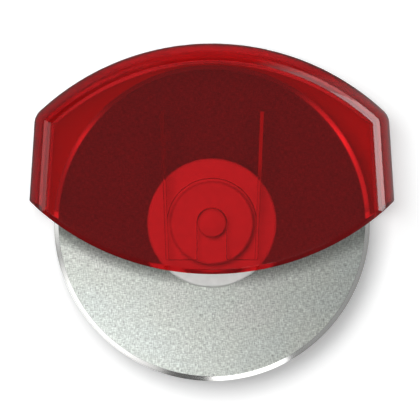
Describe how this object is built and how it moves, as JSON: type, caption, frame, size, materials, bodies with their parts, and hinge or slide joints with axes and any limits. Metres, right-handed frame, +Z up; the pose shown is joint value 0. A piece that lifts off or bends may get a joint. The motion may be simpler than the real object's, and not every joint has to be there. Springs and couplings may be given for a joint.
{
  "type": "pizza cutter",
  "caption": "Palm-held pizza cutter: steel cutting wheel on a white hub, carried on an axle in a hollow clear red handle that fills the palm.",
  "frame": {"origin": "lowest point of the cutting edge, on the blade's mid-plane and on the handle's mid-line", "axes": "+Z up from the cutting edge to the crown of the handle, -Y towards the front face, +X across the handle; the axle lies along Y at z = 0.05 m"},
  "size_m": [0.1154, 0.027, 0.1068],
  "materials": {
    "clear_red": "clear, tinted, polished",
    "blade_steel": "fine cross-brushed faces, polished bevel at the edge",
    "white_plastic": "smooth moulded"
  },
  "bodies": {
    "handle": {"front_shell": "clear_red", "rear_shell": "clear_red"},
    "axle": {"axle_pin": "white_plastic"},
    "wheel": {"blade": "blade_steel", "hub_front": "white_plastic", "hub_rear": "white_plastic"}
  },
  "joints": [
    {"name": "wheel_release", "type": "slide", "parent": "handle", "child": "axle", "axis": [0, 0, -1], "range_m": [0, 0.072]},
    {"name": "wheel_spin", "type": "hinge", "parent": "axle", "child": "wheel", "pos_m": [0, 0, 0.05], "axis": [0, 1, 0], "continuous": true}
  ]
}
